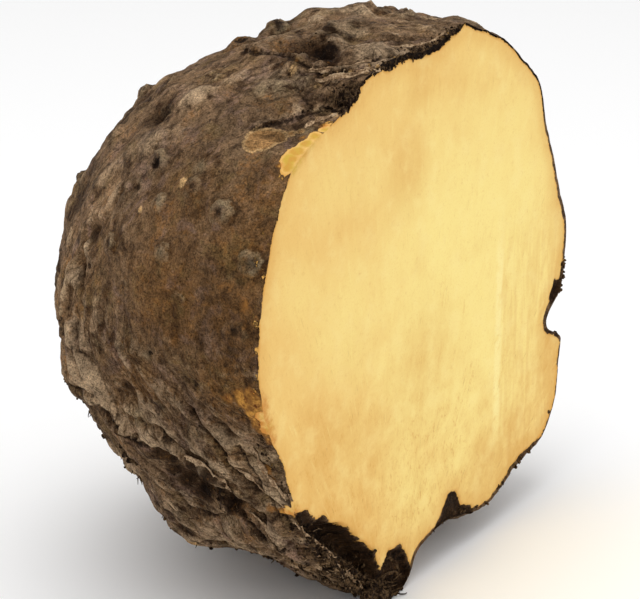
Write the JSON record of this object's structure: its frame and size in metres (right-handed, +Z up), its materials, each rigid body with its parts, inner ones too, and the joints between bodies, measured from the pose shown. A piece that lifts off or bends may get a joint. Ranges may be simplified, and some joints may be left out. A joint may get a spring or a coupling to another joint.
{
  "type": "cut elephant foot yam",
  "caption": "Cut piece of a large round yam corm with warty brown skin and a flat pale cut face, resting on a small flat spot.",
  "frame": {"origin": "middle of the flat spot that the piece rests on, under its weight", "axes": "+Z up; the knife's cut is an upright plane that faces -Y, so the skin bulges towards +Y; +X to the right seen from in front of the cut"},
  "size_m": [0.2194, 0.1407, 0.2062],
  "materials": {
    "skin": "rough, dry grey-brown bark-like skin with raised warts; the cut face is pale yellow, matt and faintly fibrous"
  },
  "bodies": {
    "root": {"corm_piece": "skin"}
  },
  "joints": []
}
